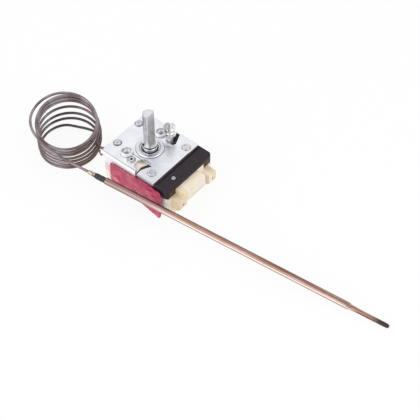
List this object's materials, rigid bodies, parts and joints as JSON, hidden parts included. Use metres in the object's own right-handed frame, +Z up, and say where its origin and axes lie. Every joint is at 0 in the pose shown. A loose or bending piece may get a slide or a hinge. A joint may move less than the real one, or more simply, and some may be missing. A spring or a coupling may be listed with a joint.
{
  "type": "oven thermostat",
  "caption": "Capillary oven control: flatted spindle on a riveted plate, ceramic switch block, coiled copper capillary and a long thin sensing bulb.",
  "frame": {"origin": "on the spindle's axis, level with the mounting plate's top face", "axes": "+Z up the spindle and out of the appliance's panel, +X towards the black cover bar and along the bulb, +Y away from the red film, towards the terminal tabs"},
  "size_m": [0.2143, 0.0553, 0.0451],
  "materials": {
    "zinc_plated_steel": "zinc plated, satin",
    "machined_steel": "machined, nickel plated",
    "spring_steel": "polished spring steel",
    "blackened_steel": "blackened",
    "bright_rivet": "bright, pressed",
    "cream_ceramic": "unglazed, matt",
    "black_moulding": "matt black",
    "red_film": "red, satin",
    "diaphragm_steel": "stainless, plain",
    "contact_brass": "plain brass",
    "contact_silver": "silver contact",
    "tinned_terminal": "tinned brass",
    "copper_bulb": "drawn copper, satin",
    "aged_copper_tube": "dull oxidised copper",
    "ferrule_brass": "plain brass",
    "black_sleeve": "matt black",
    "fibre_sheet": "matt black fibre"
  },
  "bodies": {
    "frame": {"mounting_plate": "zinc_plated_steel", "spindle_bush": "machined_steel", "friction_washer": "spring_steel", "ceramic_housing": "cream_ceramic", "cover_bar": "black_moulding", "cover_bar_rivet": "bright_rivet", "insulating_film": "red_film", "film_studs": "red_film", "plate_gasket": "fibre_sheet", "plate_rivets": "bright_rivet", "hollow_eyelet": "bright_rivet", "calibration_nut": "zinc_plated_steel", "fixed_contact": "contact_silver", "moving_terminal": "tinned_terminal", "fixed_terminal": "tinned_terminal", "terminal_rivets": "contact_brass", "bottom_cover": "cream_ceramic", "bottom_cover_screws": "machined_steel", "sensing_bulb": "copper_bulb", "bulb_sleeve": "black_sleeve", "tube_ferrule": "ferrule_brass", "capillary_lead": "aged_copper_tube", "filling_stub": "aged_copper_tube", "capillary_coil": "aged_copper_tube", "capillary_tail": "aged_copper_tube"},
    "capsule": {"diaphragm_capsule": "diaphragm_steel", "push_pin": "cream_ceramic"},
    "spindle": {"spindle": "machined_steel", "snap_ring": "spring_steel", "stop_disc": "machined_steel"},
    "contact_arm": {"contact_spring": "contact_brass", "moving_contact": "contact_silver"},
    "calibration": {"calibration_screw": "machined_steel", "calibration_collar": "blackened_steel"}
  },
  "joints": [
    {"name": "capsule_travel", "type": "slide", "parent": "frame", "child": "capsule", "axis": [0, 0, 1], "range_m": [0, 0.0005]},
    {"name": "spindle_turn", "type": "hinge", "parent": "capsule", "child": "spindle", "pos_m": [0, 0, 0], "axis": [0, 0, 1], "range_deg": [-300, 0]},
    {"name": "contact_flex", "type": "hinge", "parent": "frame", "child": "contact_arm", "pos_m": [-0.0095, 0, -0.01385], "axis": [0, 1, 0], "range_deg": [-2.75, 0]},
    {"name": "calibration_turn", "type": "hinge", "parent": "frame", "child": "calibration", "pos_m": [0.0042, 0.0103, 0], "axis": [0, 0, 1], "range_deg": [-90, 90]}
  ],
  "couplings": [
    {"joint": "spindle_turn", "follows": "capsule_travel", "rad_per_m": -10472},
    {"joint": "contact_flex", "follows": "capsule_travel", "rad_per_m": -95.5}
  ]
}
